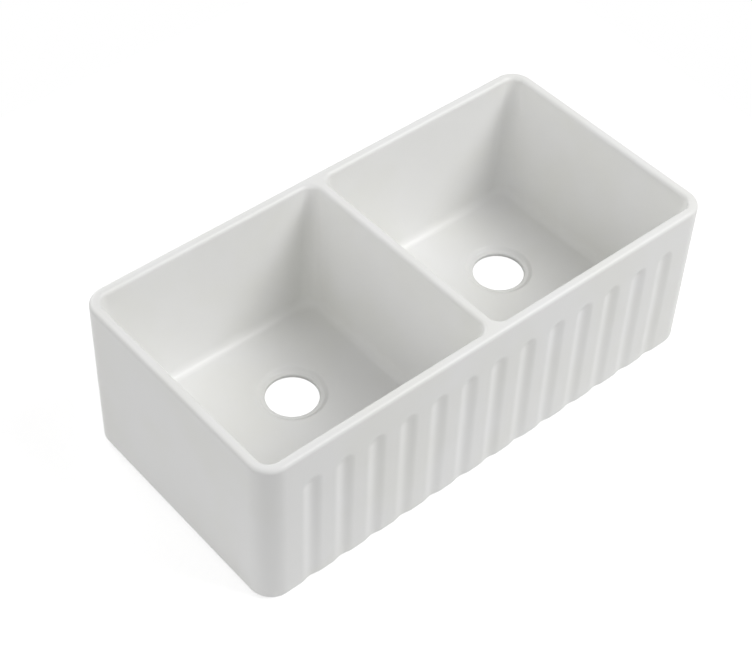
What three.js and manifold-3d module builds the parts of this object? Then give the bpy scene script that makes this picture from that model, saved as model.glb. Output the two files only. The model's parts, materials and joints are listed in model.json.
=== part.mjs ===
// Double-bowl farmhouse sink with a fluted apron front: one fired casting of glazed fireclay.
//
// Millimetres, +Z up. The origin is under the middle of the sink, at the level that it stands on.
// The fluted apron faces -Y, the two bowls lie side by side along X, and each drains through an
// open outlet. The block, the bowls and the pockets under them are lofts through level rings that
// all have the same number of points. That is how a bowl turns from square walls into a round
// outlet in one unbroken surface, with a floor that falls to the outlet from every side.

import * as THREE from 'three';
import { mergeVertices } from 'three/addons/utils/BufferGeometryUtils.js';
import Module from 'manifold-3d';

// ---- driving dimensions ----

// outside of the casting
const WIDTH = 914;                 // along the apron, 36 in
const DEPTH = 457;                 // apron to back, 18 in
const HEIGHT = 305;                // base to rim, 12 in
const CORNER_RADIUS = 40;          // upright outside corners
const RIM_ROUND = 7;               // rounding of the rim, outside and in the bowls
const BASE_ROUND = 9;              // rounding of the lower edge

// bowls
const WALL = 18;                   // outer walls, measured at the rim
const DIVIDER = 18;                // wall between the bowls, measured at the rim
const DIVIDER_TO_LEFT = 5;         // of the middle of the sink, so the right bowl is a little wider
const BOWL_DEPTH = 247;            // rim to the floor where it meets the walls
const WALL_DRAFT = 14;             // how far each wall leans into the bowl by the time it meets the floor
const BOWL_CORNER_RIM = 20;        // upright bowl corners at the rim
const BOWL_CORNER_FLOOR = 34;      // the same corners at the floor
const FLOOR_FILLET = 18;           // cove between wall and floor
const FLOOR_FALL = 6;              // how far the floor falls from the walls to the outlet recess

// outlets, the same in both bowls
const OUTLET_DIAMETER = 90;        // open hole for a 3 1/2 in waste
const RECESS_DIAMETER = 122;       // dished recess that the flange of a waste sits in
const RECESS_DEPTH = 6;
const SEAT_DIAMETER = 102;         // flat ring at the bottom of the recess, under the flange
const OUTLET_LIP = 8;              // thickness of the casting where the waste clamps it
const OUTLET_ROUND = 3;            // rounding of the lip's upper and lower edges
const OUTLET_SPACING = 464;        // between the two outlets
const OUTLETS_TO_RIGHT = 47;       // of the middle of the sink, to the midpoint of the two outlets
const OUTLETS_TO_BACK = 51;        // of the middle of the sink

// underside, with a pocket under each bowl
const FOOT = 34;                   // width of the flat bearing edge round the base
const WEB = 34;                    // width of the bearing web between the two pockets
const POCKET_CORNER = 24;
const POCKET_DRAFT = 3;            // how far each wall of a pocket leans in by the time it meets the roof

// flutes of the apron
const FLUTES = 13;
const FLUTE_PITCH = 61.6;
const FLUTE_WIDTH = 38;            // across the mouth of one flute
const FLUTE_DEPTH = 4.4;           // where a flute is deepest, just below its round top
const FLUTE_DEPTH_AT_BASE = 2.8;
const FLUTE_TOP = 57;              // plain band between the rim and the round tops of the flutes

// fineness of the surfaces
const CORNER_STEPS = 8;            // steps round each quarter of a ring
const EDGE_STEPS = 3;              // steps round a rounded edge
const FILLET_STEPS = 5;            // steps up the cove of the bowl floor
const RECESS_STEPS = 4;            // steps down the slope of an outlet's recess
const FLUTE_SIDES = 60;            // sides of the round form that cuts a flute
const NOSE_STEPS = 12;             // steps up the ball at the top of that form

const OVERCUT = 10;                // how far a cutting form runs on past the face it opens

// ---- sizes that follow ----

const floorLevel = HEIGHT - BOWL_DEPTH;
const recessLevel = floorLevel - FLOOR_FALL;
const seatLevel = recessLevel - RECESS_DEPTH;
const pocketRoof = seatLevel - OUTLET_LIP;
const bowlDepthY = DEPTH - 2 * WALL;
const outletRadius = OUTLET_DIAMETER / 2;

// ---- rings and lofts ----

// A level ring of points: a rounded rectangle of half sizes a and b about (x, y) at height z.
function ring({ x = 0, y = 0, z, a, b, r }) {
  const outline = new THREE.Path();
  const corners = [[a - r, b - r, 0], [r - a, b - r, 1], [r - a, r - b, 2], [a - r, r - b, 3]];
  for (const [cx, cy, quarter] of corners) {
    const start = quarter * Math.PI / 2;
    outline.absarc(x + cx, y + cy, r, start, start + Math.PI / 2, false);
  }
  const arcs = outline.curves.filter((curve) => curve.isEllipseCurve);
  return arcs.flatMap((arc) => arc.getPoints(CORNER_STEPS)).map((p) => new THREE.Vector3(p.x, p.y, z));
}

// A round ring. By default it has as many points as a square ring, each facing the point of the
// square ring that it is joined to.
function circle(x, y, z, radius, count = 4 * (CORNER_STEPS + 1)) {
  return Array.from({ length: count }, (_, i) => {
    const angle = (i + 0.5) / count * 2 * Math.PI;
    return new THREE.Vector3(x + radius * Math.cos(angle), y + radius * Math.sin(angle), z);
  });
}

// The closed solid through rings listed from the bottom up.
function loft(rings) {
  const count = rings[0].length;
  const points = rings.flat();
  const faces = [];
  for (let level = 0; level + 1 < rings.length; level += 1) {
    for (let i = 0; i < count; i += 1) {
      const [p, q] = [level * count + i, level * count + (i + 1) % count];
      faces.push(p, q, q + count, p, q + count, p + count);
    }
  }
  for (const [level, turn] of [[0, -1], [rings.length - 1, 1]]) {
    const first = level * count;
    for (let i = 1; i + 1 < count; i += 1) {
      faces.push(...(turn > 0 ? [first, first + i, first + i + 1] : [first, first + i + 1, first + i]));
    }
  }
  const geometry = new THREE.BufferGeometry().setFromPoints(points);
  geometry.setIndex(faces);
  return geometry;
}

// Steps round a quarter circle, as pairs [out, up] that go from [0, 0] to [1, 1]:
// first straight up and then bending outwards.
function quarterRound(steps) {
  return Array.from({ length: steps + 1 }, (_, i) => {
    const angle = (i / steps) * Math.PI / 2;
    return [1 - Math.cos(angle), Math.sin(angle)];
  });
}

// ---- the pieces that make up the casting's form ----

// The outside block, with its rounded base edge, upright corners and rim.
function outsideBlock() {
  const at = (z, inset) => ring({
    z, a: WIDTH / 2 - inset, b: DEPTH / 2 - inset, r: CORNER_RADIUS - inset,
  });
  const edge = quarterRound(EDGE_STEPS);
  const base = edge.map(([out, up]) => at(BASE_ROUND * (1 - up), BASE_ROUND * out)).reverse();
  const rim = edge.map(([out, up]) => at(HEIGHT - RIM_ROUND * (1 - up), RIM_ROUND * out));
  return loft([...base, ...rim]);
}

// The space inside one bowl, from under the outlet's lip up past the rim, as one form.
function bowlSpace(side) {
  const { middle: x, width } = between(side, WALL, DIVIDER);
  const outletX = outletMiddle(side);
  const lean = (z) => WALL_DRAFT * (HEIGHT - z) / BOWL_DEPTH;
  const corner = (z) => BOWL_CORNER_RIM
    + (BOWL_CORNER_FLOOR - BOWL_CORNER_RIM) * (HEIGHT - z) / BOWL_DEPTH;
  const wallAt = (z, inset) => ring({
    x, z, a: width / 2 - inset, b: bowlDepthY / 2 - inset, r: corner(z) - (inset - lean(z)),
  });
  const rings = outletProfile().map(([radius, z]) => circle(outletX, OUTLETS_TO_BACK, z, radius));
  for (const [out, up] of quarterRound(FILLET_STEPS)) {
    const z = floorLevel + FLOOR_FILLET * out;
    rings.push(wallAt(z, lean(z) + FLOOR_FILLET * (1 - up)));
  }
  for (const [out, up] of quarterRound(EDGE_STEPS)) {
    const z = HEIGHT - RIM_ROUND * (1 - up);
    rings.push(wallAt(z, lean(z) - RIM_ROUND * out));
  }
  rings.push(rings.at(-1).map((p) => p.clone().setZ(HEIGHT + OVERCUT)));
  return loft(rings);
}

// Radius and height of each ring of an outlet, from below the lip up to the edge of the recess:
// the open hole with both its edges rounded, the flat seat and the S-shaped slope of the recess.
function outletProfile() {
  const edge = quarterRound(EDGE_STEPS).map(([out, up]) => [outletRadius + OUTLET_ROUND * out, up]);
  const lower = edge.map(([radius, up]) => [radius, pocketRoof + OUTLET_ROUND * (1 - up)]).reverse();
  const upper = edge.map(([radius, up]) => [radius, seatLevel - OUTLET_ROUND * (1 - up)]);
  const mouth = [outletRadius + OUTLET_ROUND, pocketRoof - OVERCUT];
  const slope = Array.from({ length: RECESS_STEPS + 1 }, (_, i) => {
    const t = i / RECESS_STEPS;
    const radius = (SEAT_DIAMETER + (RECESS_DIAMETER - SEAT_DIAMETER) * t) / 2;
    return [radius, seatLevel + RECESS_DEPTH * (1 - Math.cos(Math.PI * t)) / 2];
  });
  return [mouth, ...lower, ...upper, ...slope];
}

// The pocket under one bowl. Its flat roof is the face that the nut of a waste tightens against.
function pocketSpace(side) {
  const { middle, width } = between(side, FOOT, WEB);
  const at = (z, inset) => ring({
    x: middle, z, a: width / 2 - inset, b: DEPTH / 2 - FOOT - inset, r: POCKET_CORNER,
  });
  return loft([at(-OVERCUT, 0), at(0, 0), at(pocketRoof, POCKET_DRAFT)]);
}

// The stretch along X between an outer wall and the wall in the middle, with its middle and width.
function between(side, outerWall, middleWall) {
  const outer = side * (WIDTH / 2 - outerWall);
  const inner = side * middleWall / 2 - DIVIDER_TO_LEFT;
  return { middle: (outer + inner) / 2, width: Math.abs(outer - inner) };
}

function outletMiddle(side) {
  return OUTLETS_TO_RIGHT + side * OUTLET_SPACING / 2;
}

// The form that cuts one flute: a round bar that stands mostly in front of the apron and ends in a
// ball, so that it leaves a shallow hollow with a round top. The bar grows stouter downwards while
// it draws back, which keeps the hollow as wide as it gets shallower.
function fluteForm(x) {
  const radiusFor = (depth) => (FLUTE_WIDTH ** 2 / 4 + depth ** 2) / (2 * depth);
  const at = (z, depth, ballAngle) => circle(
    x, depth - radiusFor(depth) - DEPTH / 2, z, radiusFor(depth) * Math.cos(ballAngle), FLUTE_SIDES,
  );
  const ballMiddle = HEIGHT - FLUTE_TOP - FLUTE_WIDTH / 2;
  const rings = [at(-OVERCUT, FLUTE_DEPTH_AT_BASE, 0), at(0, FLUTE_DEPTH_AT_BASE, 0)];
  for (let step = 0; step < NOSE_STEPS; step += 1) {
    const angle = (step / NOSE_STEPS) * Math.PI / 2;
    rings.push(at(ballMiddle + radiusFor(FLUTE_DEPTH) * Math.sin(angle), FLUTE_DEPTH, angle));
  }
  return loft(rings);
}

// ---- joining and cutting ----

const wasm = await Module();
wasm.setup();

function toSolid(geometry) {
  const plain = geometry.clone();
  plain.deleteAttribute('normal');
  plain.deleteAttribute('uv');
  const merged = mergeVertices(plain, 1e-4);
  return new wasm.Manifold(new wasm.Mesh({
    numProp: 3,
    vertProperties: new Float32Array(merged.attributes.position.array),
    triVerts: new Uint32Array(merged.index.array),
  }));
}

function toGeometry(solid) {
  const mesh = solid.getMesh();
  const geometry = new THREE.BufferGeometry();
  geometry.setAttribute('position', new THREE.BufferAttribute(new Float32Array(mesh.vertProperties), 3));
  geometry.setIndex(new THREE.BufferAttribute(new Uint32Array(mesh.triVerts), 1));
  geometry.computeVertexNormals();
  return geometry;
}

// ---- the sink ----

function sinkBody() {
  let body = toSolid(outsideBlock());
  for (const side of [-1, 1]) {
    body = body.subtract(toSolid(bowlSpace(side)));
    body = body.subtract(toSolid(pocketSpace(side)));
  }
  for (let i = 0; i < FLUTES; i += 1) {
    body = body.subtract(toSolid(fluteForm((i - (FLUTES - 1) / 2) * FLUTE_PITCH)));
  }
  return toGeometry(body);
}

const glaze = new THREE.MeshStandardMaterial({ color: 0xe8e8e6, roughness: 0.12, metalness: 0 });

const sink = new THREE.Group();
const casting = new THREE.Mesh(sinkBody(), glaze);
casting.name = 'sink_body';
sink.add(casting);

export default sink;
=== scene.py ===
import json
import math

import bmesh
import bpy
from bpy.props import FloatProperty, FloatVectorProperty, IntProperty, PointerProperty
from mathutils import Matrix, Vector


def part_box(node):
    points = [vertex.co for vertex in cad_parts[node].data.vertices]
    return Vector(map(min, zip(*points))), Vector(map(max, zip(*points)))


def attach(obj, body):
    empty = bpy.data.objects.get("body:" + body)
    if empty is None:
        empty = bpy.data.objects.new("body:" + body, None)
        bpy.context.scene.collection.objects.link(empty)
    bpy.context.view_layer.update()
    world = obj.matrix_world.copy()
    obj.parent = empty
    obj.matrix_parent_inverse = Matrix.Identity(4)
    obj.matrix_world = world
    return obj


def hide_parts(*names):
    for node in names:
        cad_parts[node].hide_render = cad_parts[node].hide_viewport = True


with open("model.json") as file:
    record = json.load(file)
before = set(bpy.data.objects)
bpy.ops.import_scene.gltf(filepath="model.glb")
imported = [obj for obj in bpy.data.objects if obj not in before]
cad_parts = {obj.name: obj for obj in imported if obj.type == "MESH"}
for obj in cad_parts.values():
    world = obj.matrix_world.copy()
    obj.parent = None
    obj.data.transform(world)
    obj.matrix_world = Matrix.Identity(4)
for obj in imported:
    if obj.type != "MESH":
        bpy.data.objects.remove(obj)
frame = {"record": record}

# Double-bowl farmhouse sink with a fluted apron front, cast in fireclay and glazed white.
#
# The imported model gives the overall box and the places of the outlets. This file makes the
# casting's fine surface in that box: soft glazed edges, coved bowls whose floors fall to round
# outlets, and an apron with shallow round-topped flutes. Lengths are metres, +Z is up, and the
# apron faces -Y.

bl_info = {
    "name": "Fluted Farmhouse Sink",
    "version": (1, 0, 0),
    "blender": (4, 5, 0),
    "location": "3D View > Sidebar > Sink",
    "description": "Builds a glazed fireclay double-bowl sink and the stage that shows it",
    "category": "Object",
}

CAD_NODE = "sink_body"
CAD_BODY = "root"
CAD_LOW, CAD_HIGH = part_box(CAD_NODE)
CAD_SIZE = CAD_HIGH - CAD_LOW
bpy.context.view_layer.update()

MM = 0.001
SAME_LEVEL = 0.01 * MM    # heights nearer than this are one height
SUPPORT = 0.8 * MM        # distance of the line that keeps a flat face flat beside its rounded edge
MARGIN_SHARE = 1 / 8      # the most of a short straight side that goes to the margin at each end
END_SHARE = 0.01          # distance of the first and last line from the ends of a wall or floor

CORNER_STEPS = 14         # steps round each upright corner
EDGE_STEPS = 8            # steps round a rounded edge
COVE_STEPS = 12           # steps up the cove of a bowl's floor
FLOOR_STEPS = 16          # steps down a bowl's floor
RECESS_STEPS = 14         # steps down the slope of an outlet's recess
WALL_STEPS = 8            # steps up a bowl's wall
FLUTE_COLUMNS = 330       # points along the apron, for the flutes
PLAIN_COLUMNS = 8         # points along a plain outside face
BOWL_COLUMNS = 34         # points along each side of a bowl, which go on round its outlet
APRON_ROW = 10 * MM       # height of a row of faces where the flutes run straight
NOSE_ROW = 2.5 * MM       # the same at the round tops of the flutes
FLUTE_FADE = 1.5          # flutes reach back past the base's rounding, and end this many times as far

BARE_CLAY = "bare_clay"   # face attribute: true where the casting has no glaze


# ---- sizes and colours that a user would change ----

def linear(hex_value):
    """The linear colour of an sRGB hex value such as 0xE8E8E6."""
    channels = [(hex_value >> shift & 255) / 255 for shift in (16, 8, 0)]
    return [c / 12.92 if c <= 0.04045 else ((c + 0.055) / 1.055) ** 2.4 for c in channels]


def length(name, description, default):
    """A length in metres."""
    return FloatProperty(name=name, description=description, default=default, unit="LENGTH", precision=4)


def colour(name, description, default):
    """A colour given as an sRGB hex value."""
    return FloatVectorProperty(
        name=name, description=description, default=linear(default), subtype="COLOR", size=3, min=0, max=1)


def factor(name, description, default):
    """A number with no unit."""
    return FloatProperty(name=name, description=description, default=default, subtype="FACTOR")


class SinkCastingSizes(bpy.types.PropertyGroup):
    """The block, its edges and its bowls."""

    width: length("Width", "Along the apron", CAD_SIZE.x)
    depth: length("Depth", "Apron to back", CAD_SIZE.y)
    height: length("Height", "Base to rim", CAD_SIZE.z)
    corner_radius: length("Corner radius", "Upright outside corners", 40 * MM)
    rim_round: length("Rim rounding", "Rounding of the rim, outside and in the bowls", 7 * MM)
    base_round: length("Base rounding", "Rounding of the lower outside edge", 9 * MM)
    wall: length("Wall", "Thickness of the outer walls at the rim", 18 * MM)
    divider: length("Divider", "Thickness of the wall between the bowls at the rim", 18 * MM)
    divider_to_left: length("Divider to left", "From the middle of the sink to the divider's middle", 5 * MM)
    bowl_depth: length("Bowl depth", "Rim to the floor where it meets the walls", 247 * MM)
    wall_draft: length("Wall draft", "How far each wall leans into the bowl down to the floor", 14 * MM)
    corner_at_rim: length("Bowl corner at rim", "Radius of a bowl's upright corners at the rim", 20 * MM)
    corner_at_floor: length("Bowl corner at floor", "Radius of the same corners at the floor", 34 * MM)
    cove: length("Cove", "Radius between wall and floor", 18 * MM)
    floor_fall: length("Floor fall", "Fall of the floor from the walls to the outlet's recess", 6 * MM)


class SinkOutletSizes(bpy.types.PropertyGroup):
    """The open hole in each bowl and the underside round it."""

    diameter: length("Outlet", "Diameter of the open hole", 90 * MM)
    seat_diameter: length("Seat", "Diameter of the flat ring round the hole", 102 * MM)
    recess_diameter: length("Recess", "Diameter of the dished recess round the seat", 122 * MM)
    recess_depth: length("Recess depth", "Depth of that recess", 6 * MM)
    lip: length("Lip", "Thickness of the casting at the hole", 8 * MM)
    edge_round: length("Edge rounding", "Rounding of the hole's upper and lower edges", 3 * MM)
    foot: length("Foot", "Width of the bearing edge round the base", 34 * MM)
    web: length("Web", "Width of the bearing web between the pockets", 34 * MM)
    pocket_corner: length("Pocket corner", "Radius of the pockets' corners", 24 * MM)
    pocket_draft: length("Pocket draft", "How far a pocket's walls lean in up to its roof", 3 * MM)
    pocket_round: length("Pocket rounding", "Rounding of the pockets' edges", 3 * MM)


class SinkFluteSizes(bpy.types.PropertyGroup):
    """The round-topped flutes of the apron."""

    count: IntProperty(name="Flutes", description="Number of flutes", default=13, min=1)
    pitch: length("Pitch", "Middle of one flute to the middle of the next", 61.6 * MM)
    width: length("Flute width", "Across the mouth of one flute", 40 * MM)
    depth: length("Flute depth", "Along a flute's middle line, just below its round top", 4.4 * MM)
    depth_at_base: length("Flute depth at base", "Along the same line, at the foot", 2.8 * MM)
    plain_band: length("Plain band", "From the rim to the round tops of the flutes", 57 * MM)


class SinkGlazeLook(bpy.types.PropertyGroup):
    """The fired surfaces."""

    glaze: colour("Glaze", "White glaze where it lies thick", 0xF2F2F1)
    glaze_thin: colour("Thin glaze", "Where the glaze has drawn thin", 0xF0F0ED)
    roughness: factor("Glaze roughness", "0 is a mirror", 0.4)
    bare_clay: colour("Bare clay", "The unglazed foot and pockets", 0xD9CFBE)
    grog: colour("Grog", "Darker grains in the bare clay", 0xB8A48A)
    wave: length("Wave", "Length of the slow waves in the glaze", 70 * MM)
    wave_height: length("Wave height", "Height of those waves", 0.25 * MM)
    peel: length("Peel", "Size of the fine orange-peel texture of the glaze", 3 * MM)
    peel_height: length("Peel height", "Height of that texture", 0.006 * MM)
    grain: length("Grain", "Size of the grains in the bare clay", 1.2 * MM)


class SinkStageLook(bpy.types.PropertyGroup):
    """The floor, the lamps and the light from all round."""

    floor: colour("Floor", "Pale floor", 0xD3D3D3)
    floor_lift: factor("Floor lift", "How much brighter the camera sees the floor than it is lit", 0.62)
    ambient: factor("Ambient", "Strength of the light from all round", 0.29)
    lamps: factor("Lamps", "Strength of all the soft lamps together", 1.0)


# ---- helpers for meshes and nodes ----

def stations(span, count, margin):
    """Places along a straight side: one at each margin, and the rest evenly between them."""
    return [margin + (span - 2 * margin) * i / (count - 1) for i in range(count)]


def rounded_ring(middle, half, radius, z, columns):
    """A level rounded rectangle, anticlockwise from above, that starts on the front side.

    columns holds how many points lie between the corners on the front, right, back and left."""
    a, b = half[0] - radius, half[1] - radius
    corners = [Vector((a, -b)), Vector((a, b)), Vector((-a, b)), Vector((-a, -b))]
    points = []
    for side, count in enumerate(columns):
        begin, end = corners[side - 1], corners[side]
        facing = side * math.pi / 2
        out = Vector((math.sin(facing), -math.cos(facing)))
        span = (end - begin).length
        for place in stations(span, count, min(2 * SUPPORT, span * MARGIN_SHARE)):
            points.append(begin.lerp(end, place / span) + out * radius)
        for step in range(CORNER_STEPS + 1):
            turn = facing + step / CORNER_STEPS * math.pi / 2
            points.append(end + radius * Vector((math.sin(turn), -math.cos(turn))))
    return [Vector((middle[0] + p.x, middle[1] + p.y, z)) for p in points]


def round_ring(centre, radius, z, facing):
    """A level circle whose points face the points of another ring."""
    ring = []
    for point in facing:
        away = Vector((point.x - centre[0], point.y - centre[1])).normalized() * radius
        ring.append(Vector((centre[0] + away.x, centre[1] + away.y, z)))
    return ring


def quarter(steps):
    """Pairs (out, up) round a quarter circle from (0, 0) to (1, 1), upright first and then level."""
    turns = [i / steps * math.pi / 2 for i in range(steps + 1)]
    return [(1 - math.cos(t), math.sin(t)) for t in turns]


def between(first, last, steps):
    """The rings between two rings, with one close to each end so that edges stay where they are."""
    places = [END_SHARE] + [i / steps for i in range(1, steps)] + [1 - END_SHARE]
    return [[p.lerp(q, place) for p, q in zip(first, last)] for place in places]


def add_skin(mesh, rings):
    """Adds the faces between rings that all have the same number of points, and returns them."""
    rows = [[mesh.verts.new(point) for point in ring] for ring in rings]
    faces = []
    for lower, upper in zip(rows, rows[1:]):
        for i, point in enumerate(lower):
            j = (i + 1) % len(lower)
            faces.append(mesh.faces.new((point, lower[j], upper[j], upper[i])))
    return faces


def add_level_face(mesh, z):
    """Fills the level region between the open loops that lie at height z, and returns its faces."""
    edges = [e for e in mesh.edges if e.is_boundary and all(abs(v.co.z - z) < SAME_LEVEL for v in e.verts)]
    made = bmesh.ops.triangle_fill(mesh, edges=edges, use_beauty=True)
    return [item for item in made["geom"] if isinstance(item, bmesh.types.BMFace)]


def add_node(tree, kind, inputs=(), **settings):
    """Adds a node, sets its properties, and gives each of its inputs a value or a link."""
    node = tree.nodes.new(kind)
    for name, value in settings.items():
        setattr(node, name, value)
    for key, value in dict(inputs).items():
        if isinstance(value, bpy.types.NodeSocket):
            tree.links.new(value, node.inputs[key])
        else:
            node.inputs[key].default_value = value
    return node


def new_material(name):
    """An empty node material and its tree."""
    material = bpy.data.materials.new(name)
    material.use_nodes = True
    material.node_tree.nodes.clear()
    return material, material.node_tree


# ---- the materials ----

THIN_PATCH = 2.0                  # patches of thin glaze are this many times as long as its waves
THIN_GLAZE = (0.4, 0.65)          # the noise at which the glaze begins to count as thin, and is thin
CLAY_ROUGHNESS = 0.85
CLAY_RELIEF = 0.1                 # height of the clay's rough skin, as a share of a grain
GROG_EDGE = (0.15, 0.35)          # a grain of grog ends between these shares of a cell
GROG_STRENGTH = 0.6               # how far a grain takes on the colour of grog


def white_glaze(look):
    """Opaque white glaze, sprayed on and fired: a glassy skin.

    It shows a broad soft sheen, broken a little by slow waves where the glaze ran and by a fine
    orange peel, and it is a shade warmer where it has drawn thin over the clay."""
    material, tree = new_material("fired_white_glaze")
    place = add_node(tree, "ShaderNodeTexCoord").outputs["Object"]
    patches = add_node(tree, "ShaderNodeTexNoise", {
        "Vector": place, "Scale": 1 / (THIN_PATCH * look.wave), "Detail": 2.0})
    thin = add_node(tree, "ShaderNodeMapRange", {
        "Value": patches.outputs["Fac"], "From Min": THIN_GLAZE[0], "From Max": THIN_GLAZE[1]})
    tint = add_node(tree, "ShaderNodeMix", {
        "Factor": thin.outputs["Result"], "A": (*look.glaze, 1), "B": (*look.glaze_thin, 1)},
        data_type="RGBA")
    waves = add_node(tree, "ShaderNodeTexNoise", {"Vector": place, "Scale": 1 / look.wave, "Detail": 1.0})
    wavy = add_node(tree, "ShaderNodeBump", {
        "Height": waves.outputs["Fac"], "Distance": look.wave_height})
    peel = add_node(tree, "ShaderNodeTexNoise", {"Vector": place, "Scale": 1 / look.peel, "Detail": 1.0})
    peeled = add_node(tree, "ShaderNodeBump", {
        "Height": peel.outputs["Fac"], "Distance": look.peel_height, "Normal": wavy.outputs["Normal"]})
    surface = add_node(tree, "ShaderNodeBsdfPrincipled", {
        "Base Color": tint.outputs["Result"], "Roughness": look.roughness, "IOR": 1.5,
        "Normal": peeled.outputs["Normal"]})
    add_node(tree, "ShaderNodeOutputMaterial", {"Surface": surface.outputs["BSDF"]})
    return material


def bare_fireclay(look):
    """Fireclay wiped clean of glaze before firing: a dry buff ceramic with darker grog in it."""
    material, tree = new_material("unglazed_fireclay")
    place = add_node(tree, "ShaderNodeTexCoord").outputs["Object"]
    grains = add_node(tree, "ShaderNodeTexVoronoi", {"Vector": place, "Scale": 1 / look.grain})
    spots = add_node(tree, "ShaderNodeMapRange", {
        "Value": grains.outputs["Distance"], "From Min": GROG_EDGE[0], "From Max": GROG_EDGE[1],
        "To Min": GROG_STRENGTH, "To Max": 0.0})
    tint = add_node(tree, "ShaderNodeMix", {
        "Factor": spots.outputs["Result"], "A": (*look.bare_clay, 1), "B": (*look.grog, 1)},
        data_type="RGBA")
    grit = add_node(tree, "ShaderNodeTexNoise", {
        "Vector": place, "Scale": 1 / look.grain, "Detail": 6.0})
    rough = add_node(tree, "ShaderNodeBump", {
        "Height": grit.outputs["Fac"], "Distance": CLAY_RELIEF * look.grain})
    surface = add_node(tree, "ShaderNodeBsdfPrincipled", {
        "Base Color": tint.outputs["Result"], "Roughness": CLAY_ROUGHNESS, "IOR": 1.45,
        "Normal": rough.outputs["Normal"]})
    add_node(tree, "ShaderNodeOutputMaterial", {"Surface": surface.outputs["BSDF"]})
    return material


def studio_floor(look, footprint):
    """Pale matt floor paint that takes the sink's soft shadow.

    What looks at it sees it a little brighter than it is lit, so that it runs out to white, and
    sees plain white under the sink, where the open outlets look through."""
    material, tree = new_material("matt_white_floor_paint")
    found = dict(add_node(tree, "ShaderNodeLightPath").outputs.items())
    place = add_node(tree, "ShaderNodeTexCoord").outputs["Object"]
    found.update(add_node(tree, "ShaderNodeSeparateXYZ", {"Vector": place}).outputs.items())
    # Each step has a name, an operation, and the numbers or the names of the values that it takes.
    for result, operation, *terms in (
            ("to the side", "ABSOLUTE", "X"),
            ("to the back", "ABSOLUTE", "Y"),
            ("between the sides", "LESS_THAN", "to the side", footprint[0]),
            ("between front and back", "LESS_THAN", "to the back", footprint[1]),
            ("under the sink", "MULTIPLY", "between the sides", "between front and back"),
            ("seen or mirrored", "MAXIMUM", "Is Camera Ray", "Is Glossy Ray"),
            ("looked at", "MAXIMUM", "seen or mirrored", "Is Transmission Ray"),
            ("brightness", "MAXIMUM", "under the sink", look.floor_lift),
            ("strength", "MULTIPLY", "brightness", "looked at")):
        terms = {socket: found.get(term, term) for socket, term in enumerate(terms)}
        found[result] = add_node(tree, "ShaderNodeMath", terms, operation=operation).outputs[0]
    paint = add_node(tree, "ShaderNodeBsdfDiffuse", {"Color": (*look.floor, 1)})
    lift = add_node(tree, "ShaderNodeEmission", {"Color": (1, 1, 1, 1), "Strength": found["strength"]})
    both = add_node(tree, "ShaderNodeAddShader", {0: paint.outputs["BSDF"], 1: lift.outputs["Emission"]})
    add_node(tree, "ShaderNodeOutputMaterial", {"Surface": both.outputs["Shader"]})
    return material


# ---- the casting ----

def outlet_middle(side):
    """The middle of one outlet, from the opening that the record states for it."""
    name = "left_outlet" if side < 0 else "right_outlet"
    boxes = {item["name"]: item["box_m"] for item in frame["record"]["physics"]["openings"]}
    low, high = boxes[name]
    return (low[0] + high[0]) / 2, (low[1] + high[1]) / 2


def levels(casting, outlets):
    """Heights of a bowl's floor at its walls, of the seat in its recess and of the pocket's roof."""
    floor = casting.height - casting.bowl_depth
    seat = floor - casting.floor_fall - outlets.recess_depth
    return floor, seat, seat - outlets.lip


def stretch(casting, side, outer_wall, middle_wall):
    """The middle and half the width, along X, of the space between an outer wall and the middle one."""
    outer = side * (casting.width / 2 - outer_wall)
    inner = side * middle_wall / 2 - casting.divider_to_left
    return (outer + inner) / 2, abs(outer - inner) / 2


def outside_rings(casting, flutes):
    """From the foot over the rounded base, the walls and the rounded rim to the flat of the rim."""
    columns = (FLUTE_COLUMNS, PLAIN_COLUMNS, PLAIN_COLUMNS, PLAIN_COLUMNS)

    def at(z, inset):
        half = (casting.width / 2 - inset, casting.depth / 2 - inset)
        return rounded_ring((0, 0), half, casting.corner_radius - inset, z, columns)

    base, rim, top = casting.base_round, casting.rim_round, casting.height
    nose_low = top - flutes.plain_band - flutes.width
    nose_high = top - flutes.plain_band + 2 * NOSE_ROW
    rings = [at(0, base + SUPPORT)]
    rings += [at(base * (1 - up), base * out) for out, up in reversed(quarter(EDGE_STEPS))]
    z = base + SUPPORT
    for end, row in ((nose_low, APRON_ROW), (nose_high, NOSE_ROW), (top - rim - SUPPORT, APRON_ROW)):
        rows = math.ceil((end - z) / row)
        rings += [at(z + (end - z) * i / rows, 0) for i in range(rows)]
        z = end
    rings.append(at(z, 0))
    rings += [at(top - rim * (1 - up), rim * out) for out, up in quarter(EDGE_STEPS)]
    rings.append(at(top, rim + SUPPORT))
    return rings


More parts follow.
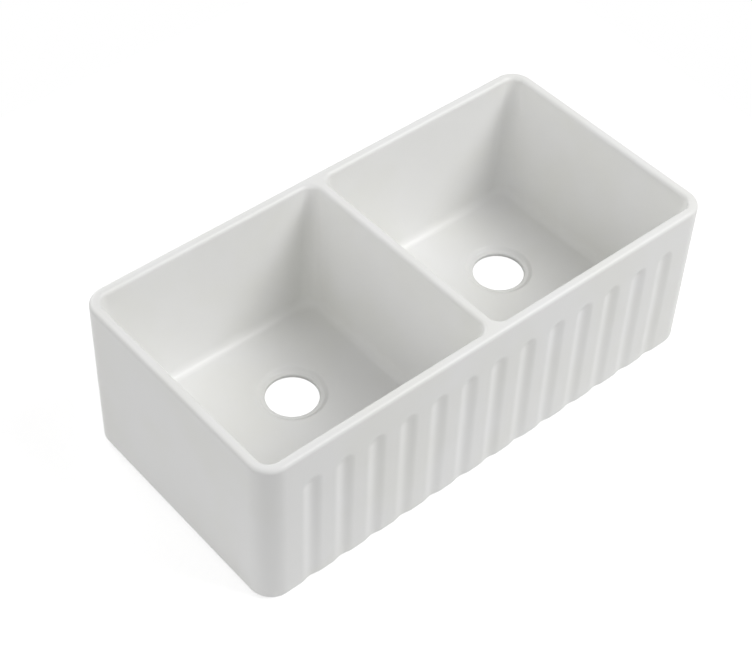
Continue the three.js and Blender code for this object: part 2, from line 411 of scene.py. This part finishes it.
def bowl_rings(casting, outlets, side):
    """From the underside of the outlet's lip over the recess, the floor and the walls to the rim."""
    x, half_width = stretch(casting, side, casting.wall, casting.divider)
    half_depth = casting.depth / 2 - casting.wall
    floor, seat, roof = levels(casting, outlets)
    rim = casting.rim_round

    def wall(z, extra):
        down = (casting.height - z) / casting.bowl_depth
        inset = casting.wall_draft * down + extra
        radius = casting.corner_at_rim + (casting.corner_at_floor - casting.corner_at_rim) * down - extra
        return rounded_ring((x, 0), (half_width - inset, half_depth - inset), radius, z, [BOWL_COLUMNS] * 4)

    def circle(radius, z):
        return round_ring(outlet_middle(side), radius, z, wall(floor, casting.cove))

    hole, soft = outlets.diameter / 2, outlets.edge_round
    seat_edge, recess_edge = outlets.seat_diameter / 2, outlets.recess_diameter / 2
    rings = [circle(hole + soft + SUPPORT, roof)]
    rings += [circle(hole + soft * out, roof + soft * (1 - up)) for out, up in reversed(quarter(EDGE_STEPS))]
    rings += [circle(hole + soft * out, seat - soft * (1 - up)) for out, up in quarter(EDGE_STEPS)]
    for step in range(RECESS_STEPS + 1):
        share = step / RECESS_STEPS
        rise = outlets.recess_depth * (1 - math.cos(math.pi * share)) / 2
        rings.append(circle(seat_edge + (recess_edge - seat_edge) * share, seat + rise))
    rings += between(rings[-1], wall(floor, casting.cove), FLOOR_STEPS)
    rings += [wall(floor + casting.cove * out, casting.cove * (1 - up)) for out, up in quarter(COVE_STEPS)]
    rings += between(rings[-1], wall(casting.height - rim, 0), WALL_STEPS)
    rings += [wall(casting.height - rim * (1 - up), -rim * out) for out, up in quarter(EDGE_STEPS)]
    rings.append(wall(casting.height, -rim - SUPPORT))
    return rings


def pocket_rings(casting, outlets, side):
    """The walls of the pocket under one bowl, from the foot to the pocket's roof."""
    x, half_width = stretch(casting, side, outlets.foot, outlets.web)
    half_depth = casting.depth / 2 - outlets.foot
    roof = levels(casting, outlets)[2]
    soft = outlets.pocket_round

    def at(z, inset):
        lean = inset + outlets.pocket_draft * z / roof
        return rounded_ring((x, 0), (half_width - lean, half_depth - lean), outlets.pocket_corner - inset,
                            z, [BOWL_COLUMNS] * 4)

    rings = [at(0, -soft - SUPPORT)]
    rings += [at(soft * (1 - up), -soft * out) for out, up in reversed(quarter(EDGE_STEPS))]
    rings += [at(roof - soft * (1 - up), soft * out) for out, up in quarter(EDGE_STEPS)]
    rings.append(at(roof, soft + SUPPORT))
    return rings


def casting_mesh(casting, outlets, flutes):
    """The casting as one closed skin with a plain apron, its bare faces marked."""
    mesh = bmesh.new()
    bare = mesh.faces.layers.bool.new(BARE_CLAY)
    add_skin(mesh, outside_rings(casting, flutes))
    underside = []
    for side in (-1, 1):
        add_skin(mesh, bowl_rings(casting, outlets, side))
        underside += add_skin(mesh, pocket_rings(casting, outlets, side))
    add_level_face(mesh, casting.height)
    underside += add_level_face(mesh, 0)
    underside += add_level_face(mesh, levels(casting, outlets)[2])
    for face in underside:
        face[bare] = True
    bmesh.ops.recalc_face_normals(mesh, faces=mesh.faces)
    for face in mesh.faces:
        face.smooth = True
    data = bpy.data.meshes.new("sink_casting")
    mesh.to_mesh(data)
    mesh.free()
    return data


def flute_tree():
    """Geometry nodes that press a row of round-topped flutes into the front of a block.

    A flute is a cosine hollow: deepest along its middle line and soft at its edges. It gets evenly
    shallower from its round top to the base. Above the middle of the round top, the distance from
    that middle takes the place of the distance from the line."""
    tree = bpy.data.node_groups.new("apron_flutes", "GeometryNodeTree")
    face = tree.interface
    face.new_socket(name="Geometry", in_out="OUTPUT", socket_type="NodeSocketGeometry")
    face.new_socket(name="Geometry", in_out="INPUT", socket_type="NodeSocketGeometry")
    face.new_socket(name="Count", in_out="INPUT", socket_type="NodeSocketInt")
    for name in ("Pitch", "Width", "Depth", "Base Depth", "Top", "Front", "Reach"):
        face.new_socket(name=name, in_out="INPUT", socket_type="NodeSocketFloat")
    for name in ("Glaze", "Bare Clay"):
        face.new_socket(name=name, in_out="INPUT", socket_type="NodeSocketMaterial")
    given = add_node(tree, "NodeGroupInput").outputs
    position = add_node(tree, "GeometryNodeInputPosition").outputs["Position"]
    found = dict(given.items())
    found.update(add_node(tree, "ShaderNodeSeparateXYZ", {"Vector": position}).outputs.items())
    # Each step has a name, an operation, and the numbers or the names of the values that it takes.
    for result, operation, *terms in (
            ("last", "SUBTRACT", "Count", 1.0),
            ("half row", "MULTIPLY", "last", 0.5),
            ("pitches", "DIVIDE", "X", "Pitch"),
            ("place in row", "ADD", "pitches", "half row"),
            ("nearest", "ROUND", "place in row"),
            ("first or later", "MAXIMUM", "nearest", 0.0),
            ("flute", "MINIMUM", "first or later", "last"),
            ("pitches aside", "SUBTRACT", "flute", "half row"),
            ("middle", "MULTIPLY", "pitches aside", "Pitch"),
            ("aside", "SUBTRACT", "X", "middle"),
            ("half width", "MULTIPLY", "Width", 0.5),
            ("nose", "SUBTRACT", "Top", "half width"),
            ("over nose", "SUBTRACT", "Z", "nose"),
            ("above", "MAXIMUM", "over nose", 0.0),
            ("aside squared", "MULTIPLY", "aside", "aside"),
            ("above squared", "MULTIPLY", "above", "above"),
            ("away squared", "ADD", "aside squared", "above squared"),
            ("away", "SQRT", "away squared"),
            ("share", "DIVIDE", "away", "half width"),
            ("share inside", "MINIMUM", "share", 1.0),
            ("half turn", "MULTIPLY", "share inside", math.pi),
            ("wave", "COSINE", "half turn"),
            ("hollow", "MULTIPLY_ADD", "wave", 0.5, 0.5),
            ("behind", "SUBTRACT", "Y", "Front"),
            ("fade end", "MULTIPLY", "Reach", FLUTE_FADE)):
        terms = {socket: found.get(term, term) for socket, term in enumerate(terms)}
        found[result] = add_node(tree, "ShaderNodeMath", terms, operation=operation).outputs[0]
    depth = add_node(tree, "ShaderNodeMapRange", {
        "Value": found["Z"], "From Max": found["nose"], "To Min": given["Base Depth"],
        "To Max": given["Depth"]}).outputs["Result"]
    near_front = add_node(tree, "ShaderNodeMapRange", {
        "Value": found["behind"], "From Min": given["Reach"], "From Max": found["fade end"],
        "To Min": 1.0, "To Max": 0.0}, interpolation_type="SMOOTHSTEP").outputs["Result"]
    dip = near_front
    for part in (found["hollow"], depth):
        dip = add_node(tree, "ShaderNodeMath", {0: dip, 1: part}, operation="MULTIPLY").outputs[0]
    moved = add_node(tree, "GeometryNodeSetPosition", {
        "Geometry": given["Geometry"],
        "Offset": add_node(tree, "ShaderNodeCombineXYZ", {"Y": dip}).outputs["Vector"]})
    real = add_node(tree, "GeometryNodeRealizeInstances", {"Geometry": moved.outputs["Geometry"]})
    glazed = add_node(tree, "GeometryNodeSetMaterial", {
        "Geometry": real.outputs["Geometry"], "Material": given["Glaze"]})
    bare = add_node(tree, "GeometryNodeInputNamedAttribute", {"Name": BARE_CLAY}, data_type="BOOLEAN")
    finished = add_node(tree, "GeometryNodeSetMaterial", {
        "Geometry": glazed.outputs["Geometry"], "Selection": bare.outputs["Attribute"],
        "Material": given["Bare Clay"]})
    add_node(tree, "NodeGroupOutput", {"Geometry": finished.outputs["Geometry"]})
    return tree


def as_plain_mesh(piece, tree, values):
    """Runs a geometry node tree on a piece and leaves the result as its plain mesh."""
    modifier = piece.modifiers.new(tree.name, "NODES")
    modifier.node_group = tree
    for item in tree.interface.items_tree:
        if item.in_out == "INPUT" and item.name in values:
            modifier[item.identifier] = values[item.name]
    depsgraph = bpy.context.evaluated_depsgraph_get()
    mesh = bpy.data.meshes.new_from_object(
        piece.evaluated_get(depsgraph), preserve_all_data_layers=True, depsgraph=depsgraph)
    piece.modifiers.remove(modifier)
    piece.data = mesh


class SINK_OT_casting(bpy.types.Operator):
    """Make the glazed casting: block, bowls, outlets, pockets and fluted apron."""

    bl_idname = "sink.casting"
    bl_label = "Casting"

    def execute(self, context):
        casting, outlets = context.scene.sink_casting, context.scene.sink_outlets
        flutes, look = context.scene.sink_flutes, context.scene.sink_glaze
        piece = bpy.data.objects.new("sink_casting", casting_mesh(casting, outlets, flutes))
        context.scene.collection.objects.link(piece)
        as_plain_mesh(piece, flute_tree(), {
            "Count": flutes.count, "Pitch": flutes.pitch, "Width": flutes.width,
            "Depth": flutes.depth, "Base Depth": flutes.depth_at_base,
            "Top": casting.height - flutes.plain_band, "Front": -casting.depth / 2,
            "Reach": casting.base_round + 2 * SUPPORT,
            "Glaze": white_glaze(look), "Bare Clay": bare_fireclay(look)})
        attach(piece, CAD_BODY)
        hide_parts(CAD_NODE)
        return {"FINISHED"}


# ---- the stage ----

LENS = 84.8 * MM                                   # on a 36 mm wide sensor
CAMERA_PLACE = Vector((-1.3810, -1.4627, 2.2264))
CAMERA_TARGET = Vector((-0.0125, 0.0442, 0.1003))
CAMERA_ROLL = math.radians(2.51)                   # the photograph leans by this much
FLOOR_HALF = 1.0                                   # half the side of the floor
FLOOR_GAP = 0.3 * MM                               # from the foot down to the floor

SOFTBOXES = (                                      # name, degrees round from +X and up, side, watts
    ("key", 313, 48, 2.6, 149),
    ("back", 90, 22, 3.0, 81),
    ("left", 180, 22, 3.0, 59),
)
SOFTBOX_DISTANCE = 5.0                             # from the middle of the sink


def aim(place, target, roll=0.0):
    """The matrix of a camera or lamp that looks from place to target, turned by roll."""
    forward = (target - place).normalized()
    level = forward.cross(Vector((0, 0, 1))).normalized()
    upright = level.cross(forward)
    right = math.cos(roll) * level + math.sin(roll) * upright
    up = math.cos(roll) * upright - math.sin(roll) * level
    turn = Matrix((right, up, -forward)).transposed()
    return Matrix.Translation(place) @ turn.to_4x4()


class SINK_OT_stage(bpy.types.Operator):
    """Make the floor, the lamps, the light from all round and the camera."""

    bl_idname = "sink.stage"
    bl_label = "Stage"

    def execute(self, context):
        casting, outlets = context.scene.sink_casting, context.scene.sink_outlets
        look = context.scene.sink_stage
        self.add_floor(context, look, casting, outlets)
        self.add_softboxes(context, look)
        self.add_surroundings(context, look)
        self.add_camera(context)
        context.scene.view_settings.view_transform = "Standard"
        return {"FINISHED"}

    def add_floor(self, context, look, casting, outlets):
        """A level sheet just under the sink."""
        corners = [(x * FLOOR_HALF, y * FLOOR_HALF, CAD_LOW.z - FLOOR_GAP)
                   for x, y in ((-1, -1), (1, -1), (1, 1), (-1, 1))]
        sheet = bpy.data.meshes.new("floor")
        sheet.from_pydata(corners, [], [(0, 1, 2, 3)])
        footprint = (casting.width / 2 - outlets.foot, casting.depth / 2 - outlets.foot)
        sheet.materials.append(studio_floor(look, footprint))
        floor = bpy.data.objects.new("floor", sheet)
        context.scene.collection.objects.link(floor)

    def add_softboxes(self, context, look):
        """Soft lamps. The key stands to the right and in front of the apron."""
        middle = Vector((0, 0, CAD_HIGH.z / 2))
        for name, round_degrees, up_degrees, side, watts in SOFTBOXES:
            around, up = math.radians(round_degrees), math.radians(up_degrees)
            away = Vector((math.cos(up) * math.cos(around), math.cos(up) * math.sin(around), math.sin(up)))
            lamp = bpy.data.lights.new(name, "AREA")
            lamp.size = side
            lamp.energy = watts * look.lamps
            holder = bpy.data.objects.new(name, lamp)
            holder.matrix_world = aim(middle + SOFTBOX_DISTANCE * away, middle)
            context.scene.collection.objects.link(holder)

    def add_surroundings(self, context, look):
        """Even light from all round, which the camera and the glaze see as white."""
        world = bpy.data.worlds.new("surroundings")
        world.use_nodes = True
        tree = world.node_tree
        tree.nodes.clear()
        path = add_node(tree, "ShaderNodeLightPath").outputs
        seen = path["Is Camera Ray"]
        for ray in ("Is Glossy Ray", "Is Transmission Ray"):
            seen = add_node(tree, "ShaderNodeMath", {0: seen, 1: path[ray]}, operation="MAXIMUM").outputs[0]
        strength = add_node(tree, "ShaderNodeMix", {"Factor": seen, "A": look.ambient, "B": 1.0})
        sky = add_node(tree, "ShaderNodeBackground", {
            "Color": (1, 1, 1, 1), "Strength": strength.outputs["Result"]})
        add_node(tree, "ShaderNodeOutputWorld", {"Surface": sky.outputs["Background"]})
        context.scene.world = world

    def add_camera(self, context):
        """The photograph's place and angle of view."""
        lens = bpy.data.cameras.new("camera")
        lens.lens = LENS / MM
        camera = bpy.data.objects.new("camera", lens)
        camera.matrix_world = aim(CAMERA_PLACE, CAMERA_TARGET, CAMERA_ROLL)
        context.scene.collection.objects.link(camera)
        context.scene.camera = camera


# ---- the add-on ----

class SINK_PT_sidebar(bpy.types.Panel):
    """The sink's sizes, finishes and stage."""

    bl_idname = "SINK_PT_sidebar"
    bl_label = "Farmhouse Sink"
    bl_space_type = "VIEW_3D"
    bl_region_type = "UI"
    bl_category = "Sink"

    def draw(self, context):
        for operator, groups in PARTS:
            box = self.layout.box()
            box.operator(operator.bl_idname)
            for group in groups:
                values = getattr(context.scene, group)
                for name in values.bl_rna.properties.keys():
                    if name not in ("rna_type", "name"):
                        box.prop(values, name)


GROUPS = {
    "sink_casting": SinkCastingSizes,
    "sink_outlets": SinkOutletSizes,
    "sink_flutes": SinkFluteSizes,
    "sink_glaze": SinkGlazeLook,
    "sink_stage": SinkStageLook,
}
PARTS = (
    (SINK_OT_casting, ("sink_casting", "sink_outlets", "sink_flutes", "sink_glaze")),
    (SINK_OT_stage, ("sink_stage",)),
)
CLASSES = (*GROUPS.values(), SINK_OT_casting, SINK_OT_stage, SINK_PT_sidebar)


def register():
    """Adds the classes and their settings."""
    for item in CLASSES:
        bpy.utils.register_class(item)
    for name, group in GROUPS.items():
        setattr(bpy.types.Scene, name, PointerProperty(type=group))


def unregister():
    """Takes the settings and classes away again."""
    for name in GROUPS:
        delattr(bpy.types.Scene, name)
    for item in reversed(CLASSES):
        bpy.utils.unregister_class(item)


def main():
    """Builds the sink and its stage."""
    register()
    bpy.ops.sink.casting()
    bpy.ops.sink.stage()


if __name__ == "__main__":
    main()
